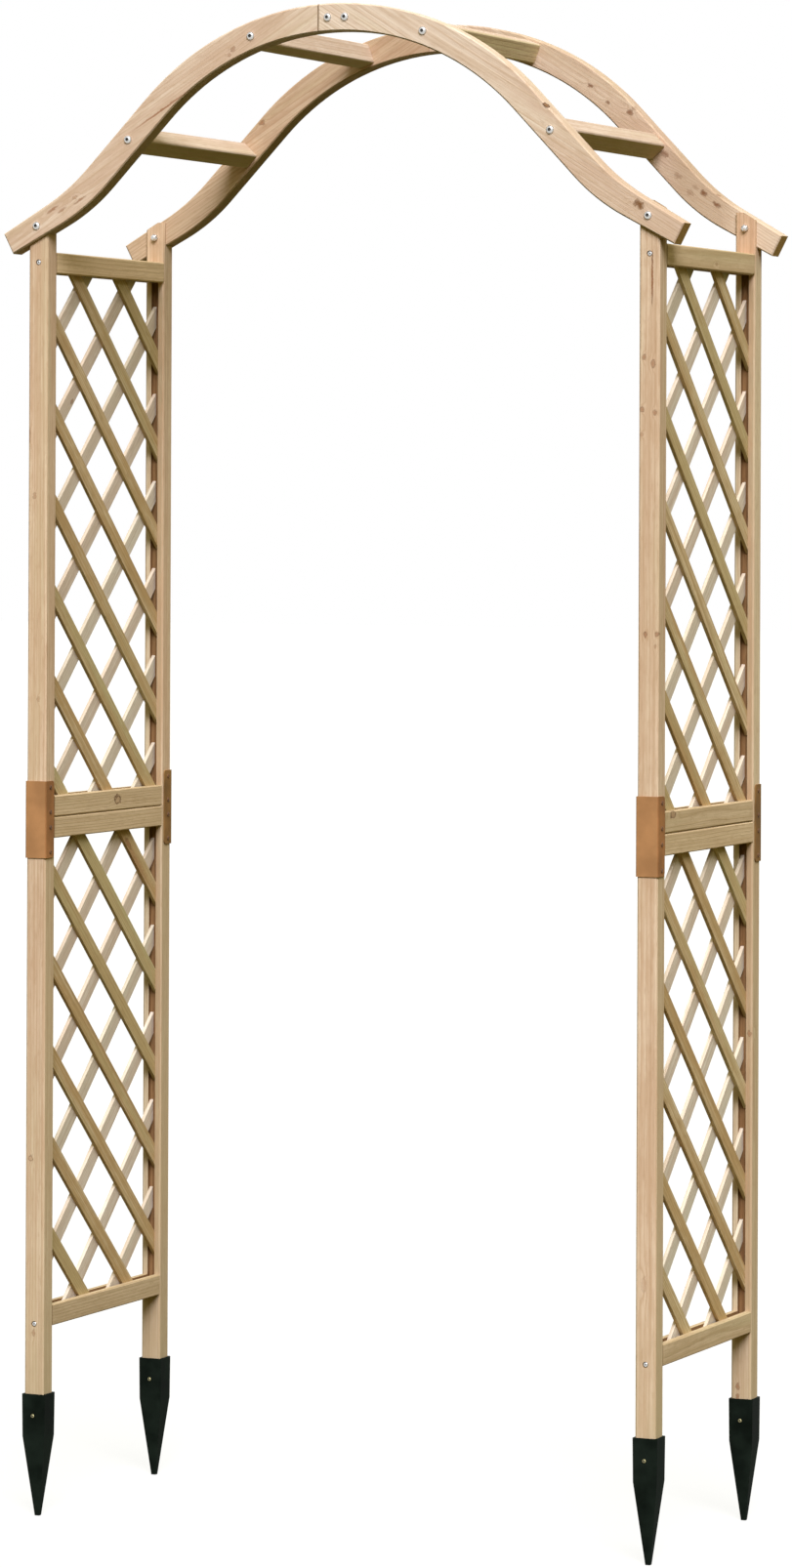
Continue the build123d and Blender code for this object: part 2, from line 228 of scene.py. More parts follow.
# knots go into the board from one face, with a bark rim, and push the rings apart
def knotMarks(tree, along, toGrain, knots):
    look = knotLook
    outline = noise(tree, along, (look["outlineScale"],) * 3, look["outlineDetail"], look["outlineRough"])
    ragged = vecs(tree, "SUBTRACT", outline.outputs["Color"], middleGrey)
    heartwood, bark, parted = 0.0, 0.0, 0.0
    for place, radius, share, stretch, rimShare in knots:
        uneven = vecs(tree, "MULTIPLY", ragged, (radius * look["ragged"],) * 3)
        gap = vecs(tree, "SUBTRACT", vecs(tree, "ADD", along, uneven), toGrain(place))
        away = lengthOf(tree, vecs(tree, "MULTIPLY", gap, (1 / stretch, 1 / look["depth"], 1)))
        inside = ranged(tree, away, radius * look["edge"], radius * look["core"], 0.0, share)
        heartwood = sums(tree, "MAXIMUM", inside, heartwood)
        fromRim = sums(tree, "ABSOLUTE", sums(tree, "SUBTRACT", away, radius * look["rim"]))
        onRim = ranged(tree, fromRim, radius * look["rimWidth"], 0.0, 0.0, rimShare)
        bark = sums(tree, "MAXIMUM", onRim, bark)
        push = min(radius * look["push"], woodLook["ringGap"])
        parted = sums(tree, "ADD", ranged(tree, away, radius * look["reach"], 0.0, 0.0, push), parted)
    return heartwood, bark, parted


def yearRings(tree, bent, parted):
    flat = vecs(tree, "MULTIPLY", bent, (0, 1, 1))
    year = sums(tree, "DIVIDE", sums(tree, "ADD", lengthOf(tree, flat), parted), woodLook["ringGap"])
    unevenYear = noise(tree, flat, (0, woodLook["yearScale"], woodLook["yearScale"]), 0.0).outputs[0]
    phase = sums(tree, "FRACT", sums(tree, "ADD", year, unevenYear))
    ramp = addNode(tree, "ValToRGB", {"Fac": phase})
    stops = ramp.color_ramp.elements
    ramp.color_ramp.interpolation = "EASE"
    for stop, level in woodLook["lateWood"]:
        stops.new(stop).color = (level, level, level, 1)
    stops[0].color = stops[-1].color = (0, 0, 0, 1)
    return ramp.outputs["Color"]


squarely = (0.6, 0.9)     # how squarely a face has to look one way to take a wash


# broad washes of colour, some of them painted light and painted shade, on the faces that look one way (sign
# 0: both ways), or between places along an axis
def washed(tree, coords, wood, washes):
    for wash in washes:
        share = wash["share"]
        if "facing" in wash:
            axis, sign = wash["facing"]
            toward = axisOf(tree, coords["Normal"], axis)
            toward = sums(tree, "MULTIPLY", toward, sign) if sign else sums(tree, "ABSOLUTE", toward)
            share = ranged(tree, toward, *wash.get("turn", squarely), 0.0, share)
        for axis, start, end in wash.get("along", ()):
            within = ranged(tree, axisOf(tree, coords["Object"], axis), start, end)
            share = sums(tree, "MULTIPLY", within, share)
        wood = mixed(tree, share, wood, rgba(wash["tone"]))
    return wood


# how a board lies in its timber: turned to the grain, with the heart line beside it
def grainPlace(grainTurn, middle, seed):
    draw = random.Random(seed)
    turn = Euler([math.radians(a) for a in grainTurn], "XYZ")
    aim = draw.uniform(0, 2 * math.pi)
    reach = draw.uniform(woodLook["heartNear"], woodLook["heartFar"])
    start = draw.uniform(-woodLook["timberHalf"], woodLook["timberHalf"])
    return turn, Vector((start, reach * math.cos(aim), reach * math.sin(aim))) - turn.to_matrix() @ middle


def woodFinish(name, tones, grainTurn, middle, seed, knots=(), boards=None, foot=False, washes=()):
    look = woodLook
    finish, tree, skin = newFinish(name)
    turn, shift = grainPlace(grainTurn, middle, seed)

    def toGrain(place):
        return turn.to_matrix() @ Vector(place) + shift

    def stained(wood, share, tone):
        return mixed(tree, share, wood, rgba(tones[tone]))

    coords = addNode(tree, "TexCoord").outputs
    laid = {"Vector": coords["Object"], "Rotation": turn, "Location": shift}
    onBoard = addNode(tree, "Mapping", laid).outputs[0]
    along, boardTint, boardGreen = onBoard, look["plainTint"], 0.0
    if boards:
        lineStart = toGrain(boards["onLine"]).z
        along, boardTint, boardGreen = splitBoards(tree, onBoard, lineStart, boards["gap"], seed)
    heartwood, bark, parted = knotMarks(tree, onBoard, toGrain, knots)
    waver = vecs(tree, "SUBTRACT", noiseOf(tree, along, "waver")["Color"], middleGrey)
    sway = vecs(tree, "MULTIPLY", waver, (0, look["ringWaver"], look["ringWaver"]))
    ring = yearRings(tree, vecs(tree, "ADD", along, sway), parted)
    fibre = noiseOf(tree, along, "fibre")[0]
    pores = marksOf(tree, along, "pore")
    cloud = marksOf(tree, along, "cloud")
    mottle = marksOf(tree, along, "mottle", look["mottleShare"])
    mould = marksOf(tree, along, "mould", look["greenShare"])

    # colour, from broad tints to fine marks
    clouded = sums(tree, "ADD", sums(tree, "MULTIPLY", cloud, look["cloudShare"]), boardTint)
    streak = sums(tree, "MULTIPLY", marksOf(tree, along, "streak"), look["streakShare"])
    tint = sums(tree, "ADD", sums(tree, "ADD", streak, mottle), clouded)
    wood = stained(rgba(tones["pale"]), tint, "warm")
    wood = stained(wood, sums(tree, "ADD", mould, boardGreen), "green")
    wood = washed(tree, coords, wood, washes)
    wood = stained(wood, sums(tree, "MULTIPLY", ring, look["ringShare"]), "late")
    wood = stained(wood, ranged(tree, fibre, *look["fibreDark"], 0.0, look["fibreShare"]), "late")
    wood = stained(wood, marksOf(tree, along, "dash", look["dashShare"]), "late")
    wood = stained(wood, sums(tree, "MULTIPLY", pores, look["poreShare"]), "pore")
    if foot:
        level = axisOf(tree, coords["Object"], "Z")
        damp = ranged(tree, level, look["footFrom"], look["footTo"], 0.0, look["footShare"])
        patches = sums(tree, "ADD", cloud, look["footEven"])
        wood = stained(wood, sums(tree, "MULTIPLY", damp, patches), "foot")
    if knots:
        wood = stained(stained(wood, heartwood, "knot"), bark, "bark")
    turned = {"Vector": coords["Normal"], "Rotation": turn}
    facing = addNode(tree, "Mapping", turned, vector_type="NORMAL").outputs[0]
    crosscut = sums(tree, "ABSOLUTE", axisOf(tree, facing, "X"))
    wood = stained(wood, ranged(tree, crosscut, *look["endTurn"], 0.0, look["endShare"]), "end")
    tree.links.new(wood, skin.inputs["Base Color"])

    tree.links.new(ranged(tree, fibre, *look["fibreLevels"], *look["roughness"]), skin.inputs["Roughness"])
    height = sums(tree, "ADD", sums(tree, "MULTIPLY", ring, look["ringHeight"]), fibre)
    height = sums(tree, "SUBTRACT", height, sums(tree, "MULTIPLY", pores, look["poreDepth"]))
    addRelief(tree, skin, height, look["bumpShare"], look["bumpDepth"])
    skin.inputs["Specular IOR Level"].default_value = look["gloss"]
    return finish


# paint and moulded plastic
coatLook = {
    "cloudScale": 22, "cloudDetail": 3.0, "cloudLevels": (0.3, 0.7), "roughSpread": 0.08,
    "gritScale": 900, "gritLevels": (0.5, 0.75), "gritShare": 0.3,
    "bumpShare": 0.15, "bumpDepth": 0.0002,
}


def paintFinish(name, look):
    finish, tree, skin = newFinish(name)
    coords = addNode(tree, "TexCoord").outputs["Object"]
    cloud = noise(tree, coords, (coatLook["cloudScale"],) * 3, coatLook["cloudDetail"]).outputs[0]
    grit = noise(tree, coords, (coatLook["gritScale"],) * 3).outputs[0]
    dark, light = [[c * (1 + sign * look["fleck"]) for c in look["colour"]] for sign in (-1, 1)]
    shade = mixed(tree, ranged(tree, cloud, *coatLook["cloudLevels"]), rgba(dark), rgba(light))
    gritty = ranged(tree, grit, *coatLook["gritLevels"], 0.0, coatLook["gritShare"])
    tree.links.new(mixed(tree, gritty, shade, rgba(dark)), skin.inputs["Base Color"])
    roughness = look["rough"] - coatLook["roughSpread"], look["rough"] + coatLook["roughSpread"]
    tree.links.new(ranged(tree, cloud, *coatLook["cloudLevels"], *roughness), skin.inputs["Roughness"])
    addRelief(tree, skin, grit, coatLook["bumpShare"], coatLook["bumpDepth"])
    skin.inputs["Specular IOR Level"].default_value = look["gloss"]
    return finish


metalLook = {
    "scuffScale": 700, "scuffDetail": 3.0, "scuffLevels": (0.3, 0.7), "scuffShade": 0.78,
    "smoother": 0.06, "rougher": 0.10,
}


def metalFinish(name, look):
    finish, tree, skin = newFinish(name)
    coords = addNode(tree, "TexCoord").outputs["Object"]
    scuff = noise(tree, coords, (metalLook["scuffScale"],) * 3, metalLook["scuffDetail"]).outputs[0]
    dark = [c * metalLook["scuffShade"] for c in look["colour"]]
    shade = mixed(tree, ranged(tree, scuff, *metalLook["scuffLevels"]), rgba(dark), rgba(look["colour"]))
    tree.links.new(shade, skin.inputs["Base Color"])
    roughness = look["rough"] - metalLook["smoother"], look["rough"] + metalLook["rougher"]
    tree.links.new(ranged(tree, scuff, *metalLook["scuffLevels"], *roughness), skin.inputs["Roughness"])
    skin.inputs["Metallic"].default_value = 1.0
    return finish


# every large piece is a copy of its solid with eased edges
dressing = {
    "weld": 1e-5, "flatWithin": 0.4, "sharpAbove": 38.0, "creaseAbove": 50.0,     # metres, then degrees
    "woodEase": 0.0008, "easeSteps": 2, "easeProfile": 0.6,
}


def weldedMesh(node):
    bm = bmesh.new()
    bm.from_mesh(cad[node].data)
    bmesh.ops.remove_doubles(bm, verts=bm.verts, dist=dressing["weld"])
    return bm


def addPiece(bm, name, node, finishes, creaseAbove):
    crease = math.radians(creaseAbove)
    for face in bm.faces:
        face.smooth = True
    for edge in bm.edges:
        edge.smooth = len(edge.link_faces) == 2 and edge.calc_face_angle() < crease
    mesh = bpy.data.meshes.new(name)
    bm.to_mesh(mesh)
    bm.free()
    for finish in finishes:
        mesh.materials.append(finish)
    piece = bpy.data.objects.new(name, mesh)
    scene.collection.objects.link(piece)
    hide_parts(node)
    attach(piece, "root")
    return piece


def dressedCopy(node, finishes, isSecond=None,
                ease=dressing["woodEase"], steps=dressing["easeSteps"]):
    bm = weldedMesh(node)
    flatWithin = math.radians(dressing["flatWithin"])
    bmesh.ops.dissolve_limit(bm, angle_limit=flatWithin, verts=bm.verts, edges=bm.edges)
    limit = math.radians(dressing["sharpAbove"])
    sharp = [e for e in bm.edges if len(e.link_faces) == 2 and e.calc_face_angle() > limit]
    bmesh.ops.bevel(bm, geom=sharp, offset=ease, segments=steps, profile=dressing["easeProfile"],
                    affect="EDGES", clamp_overlap=True)
    for face in bm.faces:
        face.material_index = 1 if isSecond and isSecond(face.calc_center_median()) else 0
    piece = addPiece(bm, node + "_dressed", node, finishes, dressing["creaseAbove"])
    piece.modifiers.new("flat faces stay flat", "WEIGHTED_NORMAL").keep_sharp = True


def centreOf(node):
    low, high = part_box(node)
    return (low + high) / 2


# boxes of the single fasteners of a node, in the order of its mesh
def singleBoxes(node):
    bm = weldedMesh(node)
    seen, boxes = set(), []
    for first in bm.verts:
        if first in seen:
            continue
        seen.add(first)
        waiting, spots = [first], []
        while waiting:
            vert = waiting.pop()
            spots.append(vert.co.copy())
            near = [e.other_vert(vert) for e in vert.link_edges]
            waiting += [v for v in near if v not in seen]
            seen.update(near)
        boxes.append([Vector([pick(s[i] for s in spots) for i in range(3)]) for pick in (min, max)])
    bm.free()
    return boxes


# faces in the grooves are rougher and darker than the planed ones, partly from the sawn wood and partly
# painted shade; the darker colour in the screw mouths is painted shade
grooveSet = {"halfWidth": 0.0061, "depth": 0.0084, "lip": 0.0008, "mouth": 0.0047}
screwMouths = [(low + high) / 2 for low, high in singleBoxes("rail_screws")]


def inGroove(beside, deep):
    return abs(beside) < grooveSet["halfWidth"] and grooveSet["lip"] < deep < grooveSet["depth"]


def stainAndShadeOnPost(node):
    low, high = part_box(node)
    middle = (low.x + high.x) / 2
    inward = 1 if low.y < 0 else -1
    inner, outer = (high.y, low.y) if inward > 0 else (low.y, high.y)

    # the screw mouths take painted shade
    def inMouth(spot):
        near = any(math.hypot(spot.x - m.x, spot.z - m.z) < grooveSet["mouth"] for m in screwMouths)
        return near and grooveSet["lip"] < (spot.y - outer) * inward < grooveSet["depth"]
    return lambda spot: inGroove(spot.x - middle, (inner - spot.y) * inward) or inMouth(spot)


def stainAndShadeOnRail(node, opensUp):
    low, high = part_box(node)
    middle = (low.x + high.x) / 2
    return lambda spot: inGroove(spot.x - middle, high.z - spot.z if opensUp else spot.z - low.z)


# knots: place on the face, radius, share of knot colour, stretch along the grain, share of the bark rim
postSet = {
    "seed": 11, "seedStep": 7, "grain": (0, 90, 0),
    "tone": {
        "upper_front_left": 1.06, "upper_front_right": 1.04,
        "upper_rear_left": 1.08, "upper_rear_right": 1.00,
        "lower_front_left": 0.99, "lower_front_right": 1.05,
        "lower_rear_left": 0.92, "lower_rear_right": 0.98,
    },
    # side: a painted tint for the light on the faces looking along X, and on the upper rear right post a
    # painted lighter side
    "side": {
        "upper": ((0.66, 0.56, 0.35), 0.15), "lower": ((0.62, 0.525, 0.315), 0.60),
        "upper_rear_right": ((0.84, 0.715, 0.485), 0.85),
    },
    # inner: painted light and shade on the faces toward the lattice, paler left of the groove and darker
    # right of it
    "inner": {
        "left": ((0.72, 0.66, 0.48), 0.55), "right": ((0.33, 0.25, 0.125), 0.55), "blend": 0.004,
        "upper": (1.900, 1.880), "lower": (0.315, 0.335),      # heights just inside the outer rails
    },
    "washes": {
        "upper_rear_right": [{"along": [("Z", 1.925, 1.945)], "tone": (0.67, 0.35, 0.21), "share": 0.40}],
    },
    "knots": {
        "upper_front_right": [
            ((0.4935, -0.222, 1.772), 0.0034, 0.65, 1.5, 0.4),
            ((0.507, -0.222, 1.763), 0.0040, 0.60, 1.7, 0.4),
            ((0.490, -0.222, 1.696), 0.0034, 0.65, 1.4, 0.5),
            ((0.510, -0.222, 1.691), 0.0036, 0.60, 1.3, 0.4),
            ((0.490, -0.222, 1.6585), 0.0024, 0.40, 1.6, 0.2),
            ((0.4965, -0.222, 1.365), 0.0030, 0.70, 1.6, 0.5),
            ((0.5145, -0.222, 1.3655), 0.0028, 0.70, 1.4, 0.5),
            ((0.512, -0.222, 1.348), 0.0020, 0.40, 1.8, 0.2),
            ((0.5055, -0.222, 1.888), 0.0014, 1.0, 30.0, 0.8),
        ],
        "upper_front_left": [
            ((-0.506, -0.222, 1.566), 0.0034, 0.45, 1.6, 0.3),
            ((-0.498, -0.222, 1.254), 0.0026, 0.4, 2.0, 0.2),
            ((-0.516, -0.222, 1.658), 0.0036, 0.45, 3.5, 0.2),
        ],
        "lower_front_left": [
            ((-0.508, -0.222, 0.5495), 0.0044, 0.22, 1.2, 0.6),
            ((-0.5015, -0.222, 0.282), 0.0026, 0.5, 2.4, 0.3),
        ],
        "lower_front_right": [((0.4985, -0.222, 0.413), 0.0040, 0.25, 3.2, 0.15)],
        "lower_rear_right": [
            ((0.4960, 0.190, 0.207), 0.0034, 0.7, 1.8, 0.4),
            ((0.4955, 0.190, 0.191), 0.0030, 0.7, 1.6, 0.4),
            ((0.5125, 0.190, 0.747), 0.0036, 0.6, 1.5, 0.4),
        ],
    },
}


# the sides take a painted olive tint for the light that falls on them, and the faces toward the lattice
# take painted light and shade, paler left of the groove and darker right of it
def postWashes(half, corner):
    sideLightTone, sideLightShare = postSet["side"].get(f"{half}_{corner}", postSet["side"][half])
    washes = [{"facing": ("X", 0), "tone": sideLightTone, "share": sideLightShare}]
    inner, middle = postSet["inner"], centreOf(f"post_{half}_{corner}").x
    inward = -1 if corner.startswith("rear") else 1
    # painted light and shade on the faces toward the lattice, one strip each side of the groove
    for strip, sign in (("left", 1), ("right", -1)):
        tone, share = inner[strip]
        reach = sign * inner["blend"]
        washes.append({"facing": ("Y", inward), "tone": tone, "share": share,
                       "along": [("Z", *inner[half]), ("X", middle + reach, middle - reach)]})
    return washes + postSet["washes"].get(f"{half}_{corner}", [])


for half in ("lower", "upper"):
    for corner in corners:
        place, node = f"{half}_{corner}", f"post_{half}_{corner}"
        postSet["seed"] += postSet["seedStep"]
        knots = postSet["knots"].get(place, ())
        tones = toned(postTones, postSet["tone"][place])
        middle, seed, grain = centreOf(node), postSet["seed"], postSet["grain"]
        planed = woodFinish(node + "_grain", tones, grain, middle, seed, knots,
                            foot=half == "lower", washes=postWashes(half, corner))
        sawnAndShaded = woodFinish(node + "_groove_stain_and_shade", grooveStainAndShadeTones, grain, middle, seed)
        dressedCopy(node, [planed, sawnAndShaded], stainAndShadeOnPost(node))
print("posts dressed")

railSet = {
    "seed": 101, "seedStep": 5, "grain": (0, 0, -90),
    "tone": {
        "left_top": 1.25, "right_top": 1.08, "right_mid_lower": 1.08,
        "left_bottom": 0.90, "right_bottom": 0.96,
    },
    "knots": {
        "left_mid_upper": [((-0.485, 0.030, 1.089), 0.0080, 0.30, 1.6, 0.85)],
        "right_mid_upper": [((0.517, -0.158, 1.099), 0.0058, 0.45, 2.2, 0.75)],
        "right_top": [((0.517, 0.020, 1.918), 0.0030, 0.4, 2.4, 0.2)],
    },
}
for side in ("left", "right"):
    for level in ("bottom", "mid_lower", "mid_upper", "top"):
        place, node = f"{side}_{level}", f"rail_{side}_{level}"
        railSet["seed"] += railSet["seedStep"]
        knots = railSet["knots"].get(place, ())
        tones = toned(railTones, railSet["tone"].get(place, 1.0))
        middle, seed, grain = centreOf(node), railSet["seed"], railSet["grain"]
        planed = woodFinish(node + "_grain", tones, grain, middle, seed, knots)
        sawnAndShaded = woodFinish(node + "_groove_stain_and_shade", grooveStainAndShadeTones, grain, middle, seed)
        dressedCopy(node, [planed, sawnAndShaded], stainAndShadeOnRail(node, level in ("bottom", "mid_upper")))
print("rails dressed")

slatSet = {
    "seed": 301, "seedStep": 3, "angle": 42.0, "heading": -90, "pitch": 0.1395,
    "topRow": {"upper": 0.023, "lower": 0.0045}, "tone": {"left": 1.0, "right": 1.06},
    "railAbove": {"upper": "top", "lower": "mid_lower"},
    "knots": {
        "left_lower_falling": [
            ((-0.495, 0.090, 1.0155), 0.0050, 0.7, 3.0, 0.5),
            ((-0.495, 0.120, 0.984), 0.0075, 0.45, 9.0, 0.0),
        ],
        "left_upper_rising": [((-0.501, -0.105, 1.713), 0.0036, 0.6, 1.8, 0.4)],
    },
}
for side in ("left", "right"):
    for panel in ("upper", "lower"):
        for lean, sign, leanTones in (("rising", -1, risingTones), ("falling", 1, fallingTones)):
            place, node = f"{side}_{panel}_{lean}", f"slats_{side}_{panel}_{lean}"
            slatSet["seed"] += slatSet["seedStep"]
            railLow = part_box(f"rail_{side}_{slatSet['railAbove'][panel]}")[0].z
            boards = {"onLine": (0, 0, railLow - slatSet["topRow"][panel]),
                      "gap": slatSet["pitch"] * math.cos(math.radians(slatSet["angle"]))}
            grain = (sign * slatSet["angle"], 0, slatSet["heading"])
            knots = slatSet["knots"].get(place, ())
            tones = toned(leanTones, slatSet["tone"][side])
            middle, seed = centreOf(node), slatSet["seed"]
            finish = woodFinish(node + "_grain", tones, grain, middle, seed, knots, boards)
            dressedCopy(node, [finish])
print("slats dressed")

# the front beams turn paler towards the crown
paleTowardCrown = (0.98, 0.88, 0.75)
lapDirtAndShade = {"tone": (0.16, 0.09, 0.04), "share": 0.75}          # dark line beside the crown lap: dirt in the seam and painted shade in its gap
# faces looking down take painted shade
shadeBelow = {"facing": ("Z", -1), "turn": (0.35, 0.6)}
beamSet = {
    "seed": 501, "seedStep": 9, "chord": 32.0, "barGrain": (0, 0, -90),
    "tones": {
        "front_right": {**beamTones, "knot": (0.23, 0.115, 0.05)}, "front_left": beamTones,
        "rear_right": rearRightTones, "rear_left": rearLeftTones,
        "bar": {**toned(beamTones, 0.96), "pale": (0.83, 0.70, 0.60), "warm": (0.65, 0.49, 0.39)},
    },
    "washes": {
        "front_right": [
            {"along": [("X", 0.40, 0.16)], "tone": paleTowardCrown, "share": 0.40},
            {"along": [("X", 0.31, 0.42)], "tone": (0.60, 0.44, 0.34), "share": 0.28},
            {"along": [("X", -0.0277, -0.0283)], **lapDirtAndShade},
        ],
        "front_left": [
            {"along": [("X", -0.13, 0.0)], "tone": paleTowardCrown, "share": 0.35},
            {"along": [("X", -0.0311, -0.0305), ("Y", -0.2125, -0.2135)], **lapDirtAndShade},
        ],
        "rear_right": [
            {"along": [("X", 0.36, 0.40)], "tone": (0.50, 0.37, 0.25), "share": 0.58},
            {"along": [("X", 0.45, 0.50)], "tone": (0.90, 0.75, 0.60), "share": 0.65},
        ],
        "rear_left": [
            {"along": [("X", -0.28, -0.42)], "tone": (0.82, 0.64, 0.46), "share": 0.45},
            {"along": [("X", -0.46, -0.51)], "tone": (0.60, 0.44, 0.29), "share": 0.45},
        ],
        # painted shade on the undersides of the beams
        "under": [{**shadeBelow, "tone": (0.16, 0.16, 0.02), "share": 0.62}],
        "bar": [
            # painted shade on the undersides of the bars
            {**shadeBelow, "tone": (0.33, 0.31, 0.03), "share": 0.55},
            {"facing": ("X", 1), "along": [("X", 0.05, 0.06), ("X", 0.29, 0.28)],     # high right bar: painted light on the faces looking toward +X
             "tone": (0.94, 0.87, 0.46), "share": 0.45},
        ],
    },
    "knots": {
        "front_right": [
            ((0.488, -0.229, 1.996), 0.0068, 1.0, 1.2, 0.2),
            ((0.4845, -0.229, 1.998), 0.0060, 0.9, 1.1, 0.1),
            ((0.339, -0.229, 2.145), 0.0032, 1.0, 1.8, 1.0),
        ],
        "front_left": [
            ((-0.474, -0.229, 2.004), 0.0022, 0.75, 5.5, 0.20),
            ((-0.458, -0.229, 2.003), 0.0020, 0.62, 5.0, 0.15),
            ((-0.427, -0.229, 2.018), 0.0020, 0.75, 6.5, 0.20),
            ((-0.436, -0.229, 2.022), 0.0034, 0.32, 1.6, 0.28),
            ((-0.1705, -0.229, 2.242), 0.0036, 0.45, 1.3, 0.30),
            ((-0.176, -0.229, 2.233), 0.0026, 0.40, 1.3, 0.25),
            ((-0.288, -0.229, 2.153), 0.0018, 0.85, 36.0, 0.0),
        ],
        "rear_right": [
            ((0.243, 0.197, 2.205), 0.0034, 0.9, 1.6, 0.3),
            ((0.272, 0.197, 2.1785), 0.0029, 0.85, 1.6, 0.3),
            ((0.309, 0.197, 2.1625), 0.0044, 0.85, 1.5, 0.3),
            ((0.3155, 0.197, 2.1685), 0.0034, 0.45, 1.4, 0.1),
            ((0.366, 0.197, 2.097), 0.0048, 0.7, 1.5, 0.3),
            ((0.388, 0.197, 2.063), 0.0042, 0.45, 1.9, 0.1),
            ((0.408, 0.197, 2.036), 0.0050, 0.4, 1.3, 0.1),
            ((0.417, 0.197, 2.0445), 0.0034, 0.35, 1.8, 0.1),
            ((0.430, 0.197, 2.0355), 0.0044, 0.95, 1.6, 0.3),
            ((0.4515, 0.197, 2.017), 0.0036, 0.9, 2.4, 0.3),
            ((0.454, 0.197, 2.032), 0.0027, 0.5, 1.6, 0.1),
        ],
        "rear_left": [((-0.317, 0.197, 2.160), 0.0040, 0.8, 1.4, 0.4)],
    },
}
for end in ("front", "rear"):
    for side, sign in (("right", -1), ("left", 1)):
        place, node = f"{end}_{side}", f"beam_{end}_{side}"
        beamSet["seed"] += beamSet["seedStep"]
        tones, knots = beamSet["tones"][place], beamSet["knots"][place]
        grain = (0, sign * beamSet["chord"], 0)
        finish = woodFinish(node + "_grain", tones, grain, centreOf(node), beamSet["seed"], knots,
                            washes=beamSet["washes"][place] + beamSet["washes"]["under"])
        dressedCopy(node, [finish])
for side in ("left", "right"):
    for level in ("low", "high"):
        node = f"crossbar_{side}_{level}"
        beamSet["seed"] += beamSet["seedStep"]
        tones = beamSet["tones"]["bar"]
        finish = woodFinish(node + "_grain", tones, beamSet["barGrain"], centreOf(node), beamSet["seed"],
                            washes=beamSet["washes"]["bar"])
        dressedCopy(node, [finish])
print("beams and cross-bars dressed")

bracketSet = {
    "colour": (0.43, 0.22, 0.095), "rough": 0.6, "gloss": 0.03, "fleck": 0.14, "ease": 0.0004,
    # wing: darker copies of the paint as painted shade, darkest on the rear brackets
    "wing": {"front": {"colour": (0.36, 0.17, 0.068), "rough": 0.6, "gloss": 0.02, "fleck": 0.2},
             "rear": {"colour": (0.27, 0.15, 0.057), "rough": 0.6, "gloss": 0.02, "fleck": 0.25}},
    "wingFrom": 0.0162,
}
spikeSet = {
    "colour": (0.0085, 0.0128, 0.0098), "rough": 0.5, "gloss": 0.008, "fleck": 0.45,
    "ease": 0.0009, "easeSteps": 3,
}
bracketPaint = paintFinish("bracket_paint", bracketSet)
wingShadePaints = {end: paintFinish(f"bracket_wing_shade_{end}", look) for end, look in bracketSet["wing"].items()}
spikePlastic = paintFinish("spike_plastic", spikeSet)


# the folded wings take a darker copy of the paint: painted shade, darker still on the rear brackets
def onWing(node):
    middle = centreOf(node).x
    return lambda spot: abs(spot.x - middle) > bracketSet["wingFrom"]


for corner in corners:
    bracket, spike = f"splice_bracket_{corner}", f"ground_spike_{corner}"
    paints = [bracketPaint, wingShadePaints[corner.split("_")[0]]]
    dressedCopy(bracket, paints, onWing(bracket), ease=bracketSet["ease"])
    dressedCopy(spike, [spikePlastic], ease=spikeSet["ease"], steps=spikeSet["easeSteps"])
print("brackets and spikes painted")

# rings from the shank outward: radius and rise in millimetres, round unless another form is named
# the bands from darkFrom on are the recess for the driver; where it takes the second finish it is darker,
# from oxide and painted shade
fastenerSet = {
    "bolt": {"height": 0.004, "darkFrom": 8, "rings": [
        (3.0, -12), (3.0, 0), (6.2, 0), (6.25, 0.7), (6.05, 1.5), (5.5, 2.4), (4.6, 3.2), (3.4, 3.8),
        (2.6, 3.95), (2.4, 3.8, "hex"), (2.3, 1.7, "hex"), (0.5, 1.5)]},
    "nut": {"height": 0.009, "darkFrom": math.inf, "rings": [
        (5.8, 0.05, "hex"), (5.8, 4.3, "hex"), (5.35, 4.95, "hex"), (4.75, 5.0), (4.6, 6.2),
        (4.0, 7.4), (3.0, 8.3), (1.6, 8.85), (0.4, 8.97)]},
    "railScrew": {"height": 0.003, "darkFrom": 7, "rings": [
        (2.2, -10), (2.2, 0.02), (3.55, 0.02), (3.55, 1.9), (3.3, 2.5), (2.8, 2.85), (1.3, 2.98),
        (1.15, 2.9, "hex"), (1.05, 1.6, "hex"), (0.3, 1.5)]},
    "smallScrew": {"height": 0.0018, "darkFrom": 6, "rings": [
        (1.8, -6), (1.8, 0), (3.5, 0), (3.45, 0.6), (3.0, 1.2), (2.3, 1.6), (1.8, 1.72),
        (1.7, 1.65, "cross"), (1.1, 0.6, "cross"), (0.3, 0.5)]},
    "spikeScrew": {"height": 0.0018, "darkFrom": 6, "rings": [
        (1.8, -6), (1.8, 0), (2.9, 0), (2.9, 0.6), (2.6, 1.2), (2.0, 1.6), (1.6, 1.75),
        (1.5, 1.7, "cross"), (1.0, 0.6, "cross"), (0.3, 0.5)]},
    "slotHalf": 0.2, "slotInner": 0.38,      # a cross: half angle of its arms, reach between them
    "sides": 24, "perMetre": 1000, "crease": 40.0,
}
zinc = metalFinish("bolt_zinc", {"colour": (0.68, 0.675, 0.65), "rough": 0.34})
# the driver recess is dark from oxide and painted shade
recess = metalFinish("driver_recess_oxide_and_shade", {"colour": (0.10, 0.095, 0.085), "rough": 0.55})
brownCoat = {"colour": (0.15, 0.072, 0.03), "rough": 0.5, "gloss": 0.15, "fleck": 0.2}
browned = paintFinish("bracket_screw_brown", brownCoat)
brass = metalFinish("spike_screw_brass", {"colour": (0.40, 0.36, 0.18), "rough": 0.40})


# how far a ring of the given form reaches at an angle, as a share of its radius
def ringReach(form, angle):
    if "hex" in form:
        return math.cos(math.pi / 6) / math.cos(angle % (math.pi / 3) - math.pi / 6)
    if "cross" in form:
        fromArm = abs((angle + math.pi / 4) % (math.pi / 2) - math.pi / 4)
        return 1.0 if fromArm < fastenerSet["slotHalf"] else fastenerSet["slotInner"]
    return 1.0


